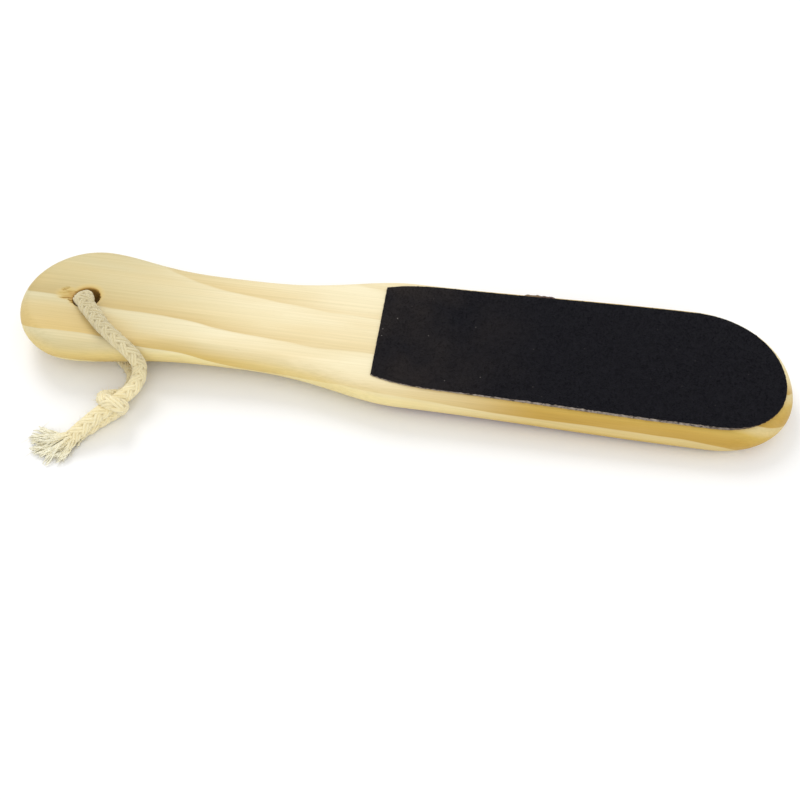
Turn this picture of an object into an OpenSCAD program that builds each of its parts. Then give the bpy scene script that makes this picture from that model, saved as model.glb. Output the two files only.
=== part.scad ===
// Two-sided foot file: a wooden paddle with a coarse black and a fine red
// abrasive sheet, and a plaited cotton cord knotted into a hanging loop.
// X runs along the paddle, head at +X. Z = 0 is the table. The loop's lower
// strand lies under the handle, so the paddle rests tilted on it, head down.

/* [Paddle] */
// Length of the wooden paddle from end to end
paddle_l = 266.2; // [240:0.2:300]
// Thickness of the wood
paddle_t = 9.6; // [7:0.2:12]
// Radius that rounds the wood's edges, at most half its thickness
edge_r = 4.8; // [1.5:0.1:4.8]
// Width of the head at its widest
head_w = 59.8; // [54:0.2:72]
// Width of the head at its shoulder, where the handle starts
shoulder_w = 55.6; // [48:0.2:64]
// Width of the handle at its waist
waist_w = 39.4; // [32:0.2:44]
// Width of the handle's end at its widest
handle_w = 50.4; // [46:0.2:60]
// Length of the head's rounded end
head_round = 30.5; // [24:0.5:40]
// Length of the handle's rounded end
handle_round = 23.6; // [20:0.1:30]
// Distance of the waist from the handle's end
waist_at = 76.7; // [65:0.1:85]
// Distance of the shoulder from the handle's end
shoulder_at = 135.7; // [115:0.1:150]
// How far the tip of the handle's end leans to the side that the hole is not on
handle_lean = 1.8; // [0:0.1:4]
// Length over which the handle's end leans
lean_run = 56.2; // [40:0.2:70]

/* [Hanging hole] */
// Diameter of the drilled hole
hole_d = 9.5; // [8.8:0.1:12]
// Distance of the hole's centre from the handle's end
hole_at = 23.7; // [18:0.1:30]
// How far the hole sits off the paddle's centre line
hole_off = 1.2; // [0:0.1:2]
// Width of the broken edge at both mouths of the hole
hole_chamfer = 0.8; // [0.4:0.1:1.5]

/* [Abrasive sheets] */
// Margin of bare wood between a sheet and the paddle's outline
sheet_inset = 3.6; // [2:0.1:6]
// Distance of the sheets' straight cut from the handle's end
cut_at = 126; // [110:0.2:150]
// How far the sheets' corners are drawn in at the cut
corner_in = 2.2; // [0:0.1:4]
// Length over which the sheets' corners are drawn in
corner_run = 22; // [8:0.5:40]
// Thickness of the glue film under each sheet
glue_t = 0.1; // [0.05:0.05:0.3]
// Thickness of each sheet's backing
backing_t = 0.3; // [0.2:0.05:0.6]
// Thickness of the coarse black grit coat
black_grit_t = 0.4; // [0.3:0.05:0.8]
// Thickness of the fine red grit coat
red_grit_t = 0.25; // [0.15:0.05:0.5]

/* [Cord] */
// Diameter of the plaited cord
cord_d = 5; // [4:0.1:5.4]
// Clearance between the cord and the wood
cord_gap = 0.3; // [0.2:0.05:0.6]

/* [Hidden] */

// Colours
wood_colour = [0.91, 0.83, 0.64];
glue_colour = [0.85, 0.82, 0.74];
black_backing_colour = [0.42, 0.41, 0.40];
black_colour = [0.11, 0.11, 0.13];
red_backing_colour = [0.62, 0.30, 0.26];
red_colour = [0.53, 0.06, 0.09];
cord_colour = [0.94, 0.90, 0.76];

// Places along the paddle, from its middle
handle_end_x = -paddle_l / 2;
handle_x = handle_end_x + handle_round;
waist_x = handle_end_x + waist_at;
shoulder_x = handle_end_x + shoulder_at;
lean_x = handle_end_x + lean_run;
head_x = paddle_l / 2 - head_round;
cut_x = handle_end_x + cut_at;
hole_x = handle_end_x + hole_at;
sheet_tip_x = paddle_l / 2 - sheet_inset;

// Fullness of the rounded ends: 2 is an ellipse, more is squarer
head_power = 2.12;
handle_power = 2;
// How late each side swells between the waist and its neighbours
to_handle_power = 1.6;
to_shoulder_power = 1.38;
// Points along a rounded end, along a side, and rings over the rounded edge
end_steps = 14;
side_steps = 30;
edge_steps = 6;
edge_round = min(edge_r, paddle_t / 2);
bore_fn = 64;
cut_over = 1;

// The cord's middle line, from the middle of the hole: x and y from the hole's
// centre, z from the table. Over the handle, through the knot, to the long end.
over_route = [
    [-0.9, -0.8, 10.8], [-0.9, -0.8, 13.4], [-0.6, -1.2, 15.5], [0.2, -2.1, 17.1],
    [1.4, -3.4, 18], [3, -5.2, 18.3], [7.8, -10.4, 18.2], [12.6, -15.4, 18.1],
    [18, -19.6, 17.9], [22, -21.9, 16.3], [24.9, -23.2, 13.4], [26.2, -24.4, 10.6],
    [26.4, -26.5, 8.6], [26, -29.2, 7.4],
    [24.4, -33, 6.7], [22.4, -35.6, 6.4], [20.8, -38.8, 6.2], [17.2, -42, 5.4],
    [14.2, -45.2, 4.3], [12.2, -48, 3.2],
    [10.4, -50, 2.7], [8.2, -51.8, 2.6], [5.2, -53.4, 2.4], [2.2, -54.6, 2.2]
];
over_knot_at = 13;
over_end_at = 19;
// Under the handle, round behind the upper strand, over it and back under it
under_route = [
    [-0.9, -0.8, 10.8], [-0.9, -0.8, 7.3], [-0.6, -1.1, 5.4], [0.2, -1.9, 3.7],
    [1.5, -3.1, 2.8], [3.2, -4.6, 2.5], [9.6, -10.2, 2.5], [15.6, -15.4, 2.5],
    [19.9, -19.4, 2.5], [22, -23.2, 2.5], [22.4, -27.2, 2.5],
    [21.2, -30.6, 2.7], [18.8, -32.6, 3.6], [16.6, -34.4, 5.4], [16.8, -37, 8],
    [19.6, -39.6, 9.9], [22.8, -40.8, 10.2], [25, -40.2, 8.8], [25.6, -38.8, 6.4],
    [24.6, -38.4, 3.9], [21.8, -39.2, 2.5], [20.5, -42.2, 2.5], [19.5, -45.4, 2.5],
    [18.9, -47.4, 2.4], [18.5, -49.2, 2.2]
];
under_knot_at = 10;
under_end_at = 22;
cord_sides = 8;
// Half width and half height of a frayed end at each of its points, as shares
// of the cord's radius
long_fray_shares = [[1, 1], [1.15, 1.05], [1.7, 1], [2.4, 0.9], [2.7, 0.7]];
short_fray_shares = [[1, 1], [1.1, 0.9], [1.25, 0.75]];

// Resting pose: the lower strand lifts the handle where it comes out from under
// it, this far along from the hole, and the red sheet's tip touches down
rim_run = 25;
red_t = glue_t + backing_t + red_grit_t;
lift = cord_d + cord_gap - red_t;
rest_tilt = asin(lift / (sheet_tip_x - hole_x - rim_run));
rest_x = -paddle_t / 2 * sin(rest_tilt);
rest_z = sheet_tip_x * sin(rest_tilt) + red_t * cos(rest_tilt);

// Smooth swell from 0 to 1
function swell(u) = (1 - cos(180 * u)) / 2;

// Half width of the paddle at a place between its rounded ends
function half_width(x) =
    x < waist_x
    ? (waist_w + (handle_w - waist_w)
        * swell(pow((waist_x - x) / (waist_x - handle_x), to_handle_power))) / 2
    : x < shoulder_x
    ? (waist_w + (shoulder_w - waist_w)
        * swell(pow((x - waist_x) / (shoulder_x - waist_x), to_shoulder_power))) / 2
    : (shoulder_w + (head_w - shoulder_w)
        * swell((x - shoulder_x) / (head_x - shoulder_x))) / 2;

// Point of a rounded end: angle 0 is its tip, 90 its widest place
function end_point(a, long, wide, power) =
    [long * pow(cos(a), 2 / power), wide * pow(sin(a), 2 / power)];

// Half of the head's rounded end, from its tip to its widest place
function head_end(inset) = [
    for (i = [0:end_steps - 1])
        let (p = end_point(90 * i / end_steps, head_round - inset,
                           head_w / 2 - inset, head_power))
        [head_x + p.x, p.y]
];

// Half of the handle's rounded end, from its widest place to its tip
function handle_end(inset) = [
    for (i = [end_steps - 1:-1:0])
        let (p = end_point(90 * i / end_steps, handle_round - inset,
                           handle_w / 2 - inset, handle_power))
        [handle_x - p.x, p.y]
];

// One side of the paddle, from the head to a place nearer the handle
function side(inset, x_end) = [
    for (i = [0:side_steps])
        let (x = head_x + (x_end - head_x) * i / side_steps)
        [x, half_width(x) - inset]
];

// A half line that starts at the head's tip, and its mirror image from a point on
function closed(half, from) = concat(
    half, [for (i = [from:-1:1]) [half[i].x, -half[i].y]]
);

// How far the paddle's middle leans sideways at a place
function lean(x) = handle_lean * pow(max(0, lean_x - x) / lean_run, 2);

// Outline of the paddle, drawn in by an inset; its half ends at the handle's tip
function paddle_outline(inset) =
    let (half = concat(head_end(inset), side(inset, handle_x), handle_end(inset)))
    [for (p = closed(half, len(half) - 2)) [p.x, p.y + lean(p.x)]];

// Outline of an abrasive sheet
function sheet_outline() =
    let (
        drawn = [
            for (p = side(sheet_inset, cut_x))
                let (u = min((p.x - cut_x) / corner_run, 1))
                [p.x, p.y - corner_in * (1 - sin(90 * u))]
        ],
        half = concat(head_end(sheet_inset), drawn)
    )
    closed(half, len(half) - 1);

// Vectors
function unit(v) = v / norm(v);
function square_to(v, t) = unit(v - (v * t) * t);

// Direction of a route at each of its points
function directions(route) = [
    for (i = [0:len(route) - 1])
        unit(route[min(i + 1, len(route) - 1)] - route[max(i - 1, 0)])
];

// One side vector per point, carried along the route without twisting
function carried(dirs, start, i = 0) =
    i == len(dirs) ? []
    : let (v = square_to(start, dirs[i])) concat([v], carried(dirs, v, i + 1));

// A ring of points round a place on the route
function ring(at, side_v, up_v, half_w, half_h) = [
    for (k = [0:cord_sides - 1])
        let (a = 360 * k / cord_sides)
        at + side_v * (half_w * cos(a)) + up_v * (half_h * sin(a))
];

// A closed skin over a row of rings
module skin(rings) {
    n = cord_sides;
    last = (len(rings) - 1) * n;
    polyhedron(
        points = [for (r = rings) each r],
        faces = concat(
            [[for (k = [0:n - 1]) k]],
            [
                for (i = [0:len(rings) - 2], k = [0:n - 1])
                    let (a = i * n + k, b = i * n + (k + 1) % n)
                    each [[a, a + n, b], [b, a + n, b + n]]
            ],
            [[for (k = [n - 1:-1:0]) last + k]]
        ),
        convexity = 6
    );
}

// A stretch of the cord between two points of its route
module cord_tube(route, from, to) {
    dirs = directions(route);
    sides = carried(dirs, [1, -1, 0]);
    skin([
        for (i = [from:to])
            ring(route[i], sides[i], cross(dirs[i], sides[i]), cord_d / 2, cord_d / 2)
    ]);
}

// A frayed end: it starts as round as the cord and spreads flat
module frayed_end(route, from, shares) {
    dirs = directions(route);
    skin([
        for (i = [0:len(shares) - 1])
            let (
                t = dirs[from + i],
                side_v = unit(cross([0, 0, 1], t)),
                up_v = cross(t, side_v)
            )
            ring(route[from + i], side_v, up_v,
                 shares[i].x * cord_d / 2, shares[i].y * cord_d / 2)
    ]);
}

// Lays the paddle and its sheets in their resting pose
module at_rest() {
    translate([rest_x, 0, rest_z])
        rotate([0, rest_tilt, 0])
            children();
}

// Lays the cord, whose route starts from the hole
module at_hole() {
    translate([hole_x, -hole_off, 0])
        children();
}

// Solid wood, its edges rounded over from face to face
module wood_body() {
    rings = [
        for (i = [0:edge_steps])
            let (
                a = -90 + 180 * i / edge_steps,
                z = a < 0 ? edge_round * (1 + sin(a))
                    : paddle_t - edge_round * (1 - sin(a))
            )
            [for (p = paddle_outline(edge_round * (1 - cos(a)))) [p.x, p.y, z]]
    ];
    n = len(rings[0]);
    last = edge_steps * n;
    polyhedron(
        points = [for (r = rings) each r],
        faces = concat(
            [[for (k = [0:n - 1]) k]],
            [
                for (i = [0:edge_steps - 1], k = [0:n - 1])
                    let (a = i * n + k, b = i * n + (k + 1) % n)
                    each [[a, a + n, b], [b, a + n, b + n]]
            ],
            [[for (k = [n - 1:-1:0]) last + k]]
        ),
        convexity = 4
    );
}

// The drilled hole with its broken edges, as a cutter
module hole_cutter() {
    mouth_r = hole_d / 2 + hole_chamfer + cut_over;
    mouth_h = hole_chamfer + cut_over;
    translate([hole_x, -hole_off, 0]) {
        translate([0, 0, -cut_over])
            cylinder(d = hole_d, h = paddle_t + 2 * cut_over, $fn = bore_fn);
        translate([0, 0, -cut_over])
            cylinder(r1 = mouth_r, r2 = hole_d / 2, h = mouth_h, $fn = bore_fn);
        translate([0, 0, paddle_t - hole_chamfer])
            cylinder(r1 = hole_d / 2, r2 = mouth_r, h = mouth_h, $fn = bore_fn);
    }
}

// One layer of an abrasive sheet, between two heights
module sheet_layer(z, t) {
    at_rest()
        translate([0, 0, z])
            linear_extrude(height = t)
                polygon(sheet_outline());
}

module wood_paddle() {
    color(wood_colour)
        at_rest()
            difference() {
                wood_body();
                hole_cutter();
            }
}

module black_glue() {
    color(glue_colour)
        sheet_layer(paddle_t, glue_t);
}

module black_backing() {
    color(black_backing_colour)
        sheet_layer(paddle_t + glue_t, backing_t);
}

module black_grit() {
    color(black_colour)
        sheet_layer(paddle_t + glue_t + backing_t, black_grit_t);
}

module red_glue() {
    color(glue_colour)
        sheet_layer(-glue_t, glue_t);
}

module red_backing() {
    color(red_backing_colour)
        sheet_layer(-glue_t - backing_t, backing_t);
}

module red_grit() {
    color(red_colour)
        sheet_layer(-red_t, red_grit_t);
}

module cord_over_handle() {
    color(cord_colour)
        at_hole()
            cord_tube(over_route, 0, over_knot_at);
}

module cord_under_handle() {
    color(cord_colour)
        at_hole()
            cord_tube(under_route, 0, under_knot_at);
}

// The lower strand hitched round the upper one, with both plaited ends
module cord_knot() {
    color(cord_colour)
        at_hole() {
            cord_tube(over_route, over_knot_at, over_end_at);
            cord_tube(under_route, under_knot_at, under_end_at);
        }
}

module long_frayed_end() {
    color(cord_colour)
        at_hole()
            frayed_end(over_route, over_end_at, long_fray_shares);
}

module short_frayed_end() {
    color(cord_colour)
        at_hole()
            frayed_end(under_route, under_end_at, short_fray_shares);
}

wood_paddle();
black_glue();
black_backing();
black_grit();
red_glue();
red_backing();
red_grit();
cord_over_handle();
cord_under_handle();
cord_knot();
long_frayed_end();
short_frayed_end();
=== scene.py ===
import math

import bmesh
import bpy
import numpy as np
from mathutils import Matrix, Vector, noise


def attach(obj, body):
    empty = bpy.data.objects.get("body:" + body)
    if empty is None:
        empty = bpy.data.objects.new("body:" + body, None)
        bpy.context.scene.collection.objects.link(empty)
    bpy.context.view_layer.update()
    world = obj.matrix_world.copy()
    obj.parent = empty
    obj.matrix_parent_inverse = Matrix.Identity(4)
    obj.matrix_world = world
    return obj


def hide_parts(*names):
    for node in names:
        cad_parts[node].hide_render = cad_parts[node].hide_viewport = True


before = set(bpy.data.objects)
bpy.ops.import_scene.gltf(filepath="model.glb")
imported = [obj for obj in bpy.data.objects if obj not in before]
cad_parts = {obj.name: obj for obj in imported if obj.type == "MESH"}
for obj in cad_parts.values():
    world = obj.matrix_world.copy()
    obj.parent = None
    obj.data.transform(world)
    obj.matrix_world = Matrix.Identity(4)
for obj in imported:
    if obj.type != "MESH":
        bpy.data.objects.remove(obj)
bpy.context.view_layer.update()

# Wooden paddle
# One piece of pale, flat-sawn softwood, cut to shape, its edges rounded over
# from face to face and sanded, and drilled through the handle. The drill tore
# a few splinters out of the rim along the grain.
MM = 0.001
# millimetres, with x counted from the middle of the length towards the head
PADDLE_LENGTH = 266.2
WOOD_THICKNESS = 9.6
EDGE_RADIUS = WOOD_THICKNESS / 2
HEAD_WIDTH, SHOULDER_WIDTH, WAIST_WIDTH, HANDLE_WIDTH = 59.8, 55.6, 39.4, 50.4
HEAD_ROUND, HANDLE_ROUND = 30.5, 23.6
HANDLE_X = -PADDLE_LENGTH / 2 + HANDLE_ROUND
WAIST_X = -PADDLE_LENGTH / 2 + 76.7
SHOULDER_X = -PADDLE_LENGTH / 2 + 135.7
HEAD_X = PADDLE_LENGTH / 2 - HEAD_ROUND
# 2 makes an end a plain ellipse, and more makes it squarer
HEAD_SQUARENESS, HANDLE_SQUARENESS = 2.12, 2.0
HANDLE_LEAN, LEAN_RUN = 1.8, 56.2
HOLE_X, HOLE_Y, HOLE_RADIUS = -109.4, -1.2, 4.75
# The paddle lies tilted: the cord lifts its handle by so much over so long a
# run, and its head stands on the red sheet, near the sheet's tip
LIFT, LIFT_RUN = 4.65, 213.9
RED_SHEET, RED_SHEET_TIP = 0.65, 129.5
REST_SIN = LIFT / LIFT_RUN
REST_COS = math.sqrt(1 - REST_SIN ** 2)
REST_SHIFT = (-EDGE_RADIUS * REST_SIN, 0.0, RED_SHEET_TIP * REST_SIN + RED_SHEET * REST_COS)
# Where the drill tore the rim: direction from the hole in degrees, half width
# of the tear in degrees, how far it runs along the grain, and how deep it goes
TOP_TEARS = (
    (186, 15, 4.6, 0.4), (163, 12, 3.6, 0.35), (212, 12, 1.0, 0.6),
    (6, 12, 0.35, 0.3), (-14, 9, 0.3, 0.3), (62, 14, 0.4, 0.3),
)
BOTTOM_TEARS = (
    (4, 24, 2.6, 0.8), (30, 14, 1.2, 0.5), (184, 26, 3.0, 0.7),
    (212, 14, 1.4, 0.4), (-60, 12, 0.5, 0.3),
)
# Splits beside it: their middle from the hole, their direction in degrees,
# half their length and width, and their depth; a splinter's is below 0
TOP_SPLITS = (
    (-8.6, 3.3, 38, 1.6, 0.34, 0.9), (-6.9, -0.9, 8, 2.2, 0.25, 0.5),
    (-8.6, 1.3, 8, 1.9, 0.3, -0.35), (-7.4, 2.3, 14, 1.5, 0.25, -0.3),
    (-5.3, -1.9, -28, 0.9, 0.35, 0.8),
)
BOTTOM_SPLITS = ((7.4, 1.2, 3, 2.2, 0.35, 0.6),)
# Fibres that stand out from the rim: direction and half width in degrees, length
TOP_FIBRES = ((-9, 6, 0.42), (9, 5, 0.4), (25, 6, 0.45), (-26, 5, 0.4), (44, 4, 0.36))
# The mesh is fine in a patch round the hole: its rings' distances from the rim
RING_OUTS = (
    0, 0.1, 0.2, 0.32, 0.45, 0.6, 0.78, 1.0, 1.25, 1.55, 1.9,
    2.3, 2.7, 3.1, 3.5, 3.9, 4.4, 4.9, 5.5, 6.3, 7.2, 8.25,
)
RIM_POINTS, WALL_STEPS, EDGE_STEPS = 288, 12, 20
# The ways out from the hole's middle: their cosine, sine and direction in degrees
RIM_TURNS = [2 * math.pi * k / RIM_POINTS for k in range(RIM_POINTS)]
RIM_WAYS = [(math.cos(a), math.sin(a), math.degrees(a)) for a in RIM_TURNS]


def laid(points):
    """Points measured on the paddle, in millimetres, to where it lies, in metres."""
    p = np.asarray(points, float)
    x, y, z = p[..., 0], p[..., 1], p[..., 2]
    turned = np.stack([x * REST_COS + z * REST_SIN, y, z * REST_COS - x * REST_SIN], axis=-1)
    return MM * (turned + REST_SHIFT)


def uneven(x, y, z):
    """Natural unevenness, between about -1 and 1, that changes smoothly over 1."""
    return noise.noise(Vector((x, y, z)))


def half_width(x):
    """Half the wood's width, which swells smoothly from one named place to the next."""
    if x < WAIST_X:
        start, end, width, wider, late = WAIST_X, HANDLE_X, WAIST_WIDTH, HANDLE_WIDTH, 1.6
    elif x < SHOULDER_X:
        start, end, width, wider, late = WAIST_X, SHOULDER_X, WAIST_WIDTH, SHOULDER_WIDTH, 1.38
    else:
        start, end, width, wider, late = SHOULDER_X, HEAD_X, SHOULDER_WIDTH, HEAD_WIDTH, 1
    swell = (1 - math.cos(math.pi * ((x - start) / (end - start)) ** late)) / 2
    return (width + (wider - width) * swell) / 2


def end_curve(inset, reach, width, squareness, points):
    """Half of a rounded end, from its tip to where the side starts."""
    curve, power = [], 2 / squareness
    for i in range(points):
        c, s = math.cos(math.pi / 2 * i / points), math.sin(math.pi / 2 * i / points)
        curve.append(((reach - inset) * c ** power, (width / 2 - inset) * s ** power))
    return curve


def paddle_edge(inset, end_points=44, side_points=150):
    """The paddle's outline drawn in by an inset, anticlockwise from the head's tip."""
    head = end_curve(inset, HEAD_ROUND, HEAD_WIDTH, HEAD_SQUARENESS, end_points)
    handle = end_curve(inset, HANDLE_ROUND, HANDLE_WIDTH, HANDLE_SQUARENESS, end_points)
    half = [(HEAD_X + reach, y) for reach, y in head]
    for i in range(side_points + 1):
        x = HEAD_X + (HANDLE_X - HEAD_X) * i / side_points
        half.append((x, half_width(x) - inset))
    half += [(HANDLE_X - reach, y) for reach, y in reversed(handle)]
    edge = np.array(half + [(x, -y) for x, y in half[-2:0:-1]])
    # the handle's end leans a little to one side
    past = np.maximum(0, LEAN_RUN - PADDLE_LENGTH / 2 - edge[:, 0])
    edge[:, 1] += HANDLE_LEAN * past ** 2 / LEAN_RUN ** 2
    return edge


def ring_faces(first, second, count):
    """Quads between two closed rings of points, each given by its first index."""
    pairs = [(k, (k + 1) % count) for k in range(count)]
    return [(first + k, first + after, second + after, second + k) for k, after in pairs]


def put_in_scene(name, data):
    thing = bpy.data.objects.new(name, data)
    bpy.context.scene.collection.objects.link(thing)
    return thing


def finished_mesh(bm, name):
    """A mesh that is done, as a piece in the scene."""
    mesh = bpy.data.meshes.new(name)
    bm.to_mesh(mesh)
    bm.free()
    return put_in_scene(name, mesh)


def fill_flat(bm, loops, up):
    """Fills a flat face inside closed loops of corners, looking up or down."""
    sides = [pair for loop in loops for pair in zip(loop, loop[1:] + loop[:1])]
    edges = [bm.edges.get(pair) for pair in sides]
    filled = bmesh.ops.triangle_fill(bm, use_beauty=True, use_dissolve=False, edges=edges)
    for f in filled["geom"]:
        if isinstance(f, bmesh.types.BMFace):
            if f.normal.z * up < 0:
                f.normal_flip()
            f.smooth = False


def apart(one, other):
    """How many degrees lie between two directions."""
    return abs((one - other + 180) % 360 - 180)


def torn_depth(x, y, tears, splits):
    """How deep the wood is torn away at a place, counted from the hole's middle."""
    bearing = math.degrees(math.atan2(y, x))
    out = math.hypot(x, y) - HOLE_RADIUS
    grain = uneven(x * 0.35, y * 2.6, 3.1)
    # the rim's sharp edge is broken all round
    broken = 0.3 + 0.12 * uneven(x * 1.3, y * 1.3, 8.0)
    depth = 0.16 * max(0.0, 1 - out / broken)
    for at, wide, run, deep in tears:
        off = apart(bearing, at) / wide
        reach = run * (1 - off ** 2) * (1 + 0.5 * grain)
        if off < 1 and out < reach:
            depth = max(depth, deep * (1 - out / reach) ** 0.7 * (1 + 0.6 * grain))
    for split_x, split_y, turn, long, wide, deep in splits:
        c, s = math.cos(math.radians(turn)), math.sin(math.radians(turn))
        u = (x - split_x) * c + (y - split_y) * s
        v = (y - split_y) * c - (x - split_x) * s
        inside = 1 - (u / long) ** 2 - ((v + 0.15 * grain) / wide) ** 2
        if inside > 0:
            depth += deep * math.sqrt(inside)
    return depth


def bare_wood(x, y, depth):
    """How much raw, darker wood shows at a place round the hole, from 0 to 1."""
    out = math.hypot(x, y) - HOLE_RADIUS
    # the stain round the rim is broad on the far side and narrow on the near one
    far_side = 0.5 + 0.5 * math.sin(math.atan2(y, x) - 0.35)
    stain = (0.25 + 0.5 * far_side) * max(0.0, 1 - out / (0.9 + 1.9 * far_side))
    torn_side = 0.5 * max(0.0, 1 - ((x + 7.2) / 4.0) ** 2 - ((y - 1.2) / 3.4) ** 2) ** 0.5
    return min(1.0, max(stain, torn_side) + max(depth, 0.0) * 0.6)


def face_round_hole(z_face, into, tears, splits, fibres=()):
    """Rings of points on a face, from the hole's rim out to the patch's edge.
    The last value of each point is how bare the wood is there."""
    rings = []
    for out in RING_OUTS:
        ring = []
        for c, s, bearing in RIM_WAYS:
            rough = 0.1 * uneven(4 * c, 4 * s, z_face)
            r = HOLE_RADIUS + out + max(0.0, rough) * max(0.0, 1 - out)
            for at, wide, long in fibres if out == 0 else ():
                r -= long * max(0.0, 1 - apart(bearing, at) / wide)
            x, y = r * c, r * s
            depth = torn_depth(x, y, tears, splits)
            ring.append((HOLE_X + x, HOLE_Y + y, z_face + into * depth, bare_wood(x, y, depth)))
        rings.append(ring)
    return rings


def hole_wall(bottom_rim, top_rim):
    """Rings of points up the hole's inside, which is bare wood all over; its darkest colour there
    is partly the end grain's own and partly painted shade.
    """
    rings = []
    for i in range(1, WALL_STEPS):
        ring = []
        for (c, s, _), low, high in zip(RIM_WAYS, bottom_rim, top_rim):
            z = low[2] + (high[2] - low[2]) * i / WALL_STEPS
            r = HOLE_RADIUS + 0.07 * uneven(7 * c, 7 * s, z * 0.8)
            ring.append((HOLE_X + r * c, HOLE_Y + r * s, z, 1.0))
        rings.append(ring)
    return rings


def walled(bm, rings, inward=False):
    """Joins rings of points on the paddle by smooth faces; gives the first and
    the last ring's corners."""
    count = len(rings[0])
    verts = [bm.verts.new(p) for ring in rings for p in laid(ring)]
    for i in range(len(rings) - 1):
        for f in ring_faces(i * count, (i + 1) * count, count):
            bm.faces.new([verts[k] for k in (f[::-1] if inward else f)]).smooth = True
    return verts[:count], verts[-count:]


def build_paddle():
    edge = []
    for i in range(EDGE_STEPS + 1):
        a = -math.pi / 2 + math.pi * i / EDGE_STEPS
        outline = paddle_edge(EDGE_RADIUS * (1 - math.cos(a)))
        edge.append([(x, y, EDGE_RADIUS * (1 + math.sin(a)), 0.0) for x, y in outline])
    top = face_round_hole(WOOD_THICKNESS, -1, TOP_TEARS, TOP_SPLITS, TOP_FIBRES)
    bottom = face_round_hole(0.0, 1, BOTTOM_TEARS, BOTTOM_SPLITS)
    hole = bottom[::-1] + hole_wall(bottom[0], top[0]) + top
    bm = bmesh.new()
    edge_low, edge_high = walled(bm, edge)
    hole_low, hole_high = walled(bm, hole, inward=True)
    # the flat of each face, between the rounded edge and the patch round the hole
    fill_flat(bm, (edge_high, hole_high), 1)
    fill_flat(bm, (edge_low, hole_low), -1)
    piece = finished_mesh(bm, "paddle")
    bare = piece.data.attributes.new("bare", "FLOAT", "POINT")
    bare.data.foreach_set("value", [p[3] for ring in edge + hole for p in ring])
    return piece


def new_finish(name, **sockets):
    """A material, its nodes, and its main shader with the named sockets set."""
    finish = bpy.data.materials.new(name)
    finish.use_nodes = True
    skin = finish.node_tree.nodes["Principled BSDF"]
    for socket, value in sockets.items():
        skin.inputs[socket.replace("_", " ")].default_value = value
    return finish, finish.node_tree, skin


def feed(socket, value):
    """Gives a socket a plain value, or links another node's output to it."""
    if isinstance(value, bpy.types.NodeSocket):
        value.id_data.links.new(value, socket)
    else:
        socket.default_value = value


def new_node(tree, kind, inputs=(), **settings):
    """A node, its settings, and its inputs as values or as other nodes' outputs."""
    made = tree.nodes.new(kind)
    for name, value in settings.items():
        setattr(made, name, value)
    for name, value in dict(inputs).items():
        feed(made.inputs[name], value)
    return made


def add(tree, kind, inputs=(), **settings):
    """The outputs of a new node."""
    return new_node(tree, kind, inputs, **settings).outputs


def tree_of(*values):
    """The tree that holds the first of the values that is a node's output."""
    return next(v.id_data for v in values if isinstance(v, bpy.types.NodeSocket))


def calc(operation, *values, clamp=False):
    """Arithmetic on values of which at least one is a node's output."""
    settings = {"operation": operation, "use_clamp": clamp}
    return add(tree_of(*values), "ShaderNodeMath", enumerate(values), **settings)[0]


def plus(total, *others):
    for other in others:
        total = calc("ADD", total, other)
    return total


def minus(value, other):
    return calc("SUBTRACT", value, other)


def times(product, *others):
    for other in others:
        product = calc("MULTIPLY", product, other)
    return product


def fade(value, start, end, low=0.0, high=1.0, eased=False):
    """Goes from low to high while a value goes from start to end."""
    return add(
        tree_of(value), "ShaderNodeMapRange",
        {"Value": value, "From Min": start, "From Max": end, "To Min": low, "To Max": high},
        interpolation_type="SMOOTHSTEP" if eased else "LINEAR",
    )[0]


def object_place(tree):
    """Where a place lies in its object, in metres."""
    return add(tree, "ShaderNodeTexCoord")["Object"]


def split(vector):
    return add(tree_of(vector), "ShaderNodeSeparateXYZ", {0: vector})


def mottle(place, scale, detail, roughness=0.5):
    """Soft random patches, as values round 0.5."""
    inputs = {"Vector": place, "Scale": scale, "Detail": detail, "Roughness": roughness}
    return add(tree_of(place), "ShaderNodeTexNoise", inputs)[0]


def one_each(number):
    """A random value for each whole number."""
    return add(
        tree_of(number), "ShaderNodeTexWhiteNoise", {"W": number}, noise_dimensions="1D",
    )["Value"]


def srgb(r, g, b):
    """A colour as it is seen on screen, 0 to 255, for a shader's socket."""
    parts = [((c / 255 + 0.055) / 1.055) ** 2.4 if c > 10 else c / 255 / 12.92 for c in (r, g, b)]
    return (*parts, 1.0)


def ramp(value, stops):
    """Colours along a value: each stop is where it lies, and its red, green and blue."""
    made = new_node(tree_of(value), "ShaderNodeValToRGB", {"Fac": value})
    elements = made.color_ramp.elements
    while len(elements) < len(stops):
        elements.new(0.5)
    for element, (at, *colour) in zip(elements, stops):
        element.position = at
        element.color = srgb(*colour)
    return made.outputs["Color"]


def blend_colours(amount, colour, other, kind="MIX"):
    tree, inputs = tree_of(amount, colour, other), {0: amount, 6: colour, 7: other}
    return add(tree, "ShaderNodeMix", inputs, data_type="RGBA", blend_type=kind)[2]


def roughen(skin, height, strength, depth):
    """Fine relief on a finish, as deep as the depth in metres."""
    inputs = {"Height": height, "Strength": strength, "Distance": depth}
    feed(skin.inputs["Normal"], add(tree_of(height), "ShaderNodeBump", inputs)[0])


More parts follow.
